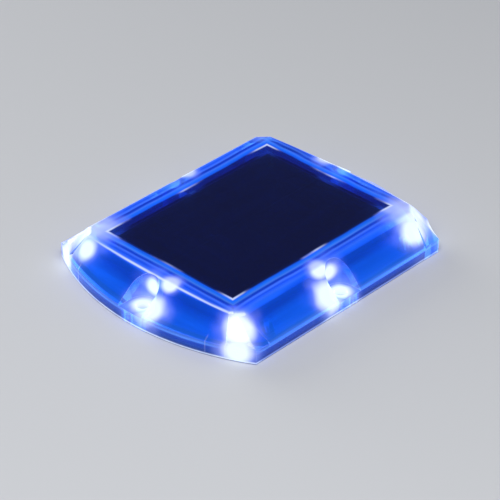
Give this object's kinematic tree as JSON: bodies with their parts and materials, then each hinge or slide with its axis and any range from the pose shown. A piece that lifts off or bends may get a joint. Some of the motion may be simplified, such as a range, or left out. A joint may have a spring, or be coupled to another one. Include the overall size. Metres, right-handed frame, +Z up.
{
  "type": "raised pavement marker",
  "caption": "Low clear road stud with sloped sides and curved ends, a dark solar panel under its flat top, blue lamps inside and open screw pockets in its sides.",
  "frame": {"origin": "middle of the resting face, on the surface that the marker is fixed to", "axes": "+X along the length to one curved end, +Y across to one straight side, +Z up out of the road"},
  "size_m": [0.127, 0.1, 0.0158],
  "materials": {
    "clear_shell": "clear polycarbonate, lit blue from inside",
    "clear_film": "clear laminate",
    "clear_bead": "clear adhesive, lit blue",
    "silicon": "near-black blue silicon",
    "dark_board": "dark laminate board",
    "tinned": "tinned copper",
    "blue_led": "clear blue epoxy, lit",
    "white_plastic": "white ABS",
    "board_white": "white solder mask on glass laminate",
    "chip_black": "moulded epoxy",
    "ferrite": "sintered ferrite",
    "can": "satin can",
    "battery_foil": "laminated aluminium pouch",
    "tape": "foam tape",
    "wire_red": "PVC insulation",
    "wire_black": "PVC insulation",
    "screw_steel": "stainless steel",
    "button_rubber": "matte silicone",
    "base_plastic": "moulded grey ABS",
    "gasket_rubber": "translucent silicone"
  },
  "bodies": {
    "housing": {"clear_housing": "clear_shell", "panel_film": "clear_film", "solar_cells": "silicon", "cell_ribbon": "tinned", "panel_board": "dark_board", "panel_bead": "clear_bead", "corner_leds": "blue_led", "side_leds": "blue_led", "led_legs": "tinned", "spacer_frame": "white_plastic", "circuit_board": "board_white", "control_chip": "chip_black", "inductor": "ferrite", "capacitor": "can", "diode": "chip_black", "resistors": "chip_black", "battery_cell": "battery_foil", "battery_tape": "tape", "battery_lead_red": "wire_red", "battery_lead_black": "wire_black", "panel_lead_red": "wire_red", "panel_lead_black": "wire_black", "reflector_tray": "white_plastic", "board_screws": "screw_steel", "switch_dome": "screw_steel", "base_plate": "base_plastic", "base_gasket": "gasket_rubber", "base_screws": "screw_steel"},
    "button": {"switch_button": "button_rubber"}
  },
  "joints": [
    {"name": "button_press", "type": "slide", "parent": "housing", "child": "button", "axis": [0, 0, 1], "range_m": [0, 0.0008], "stiffness_N_per_m": 800}
  ]
}
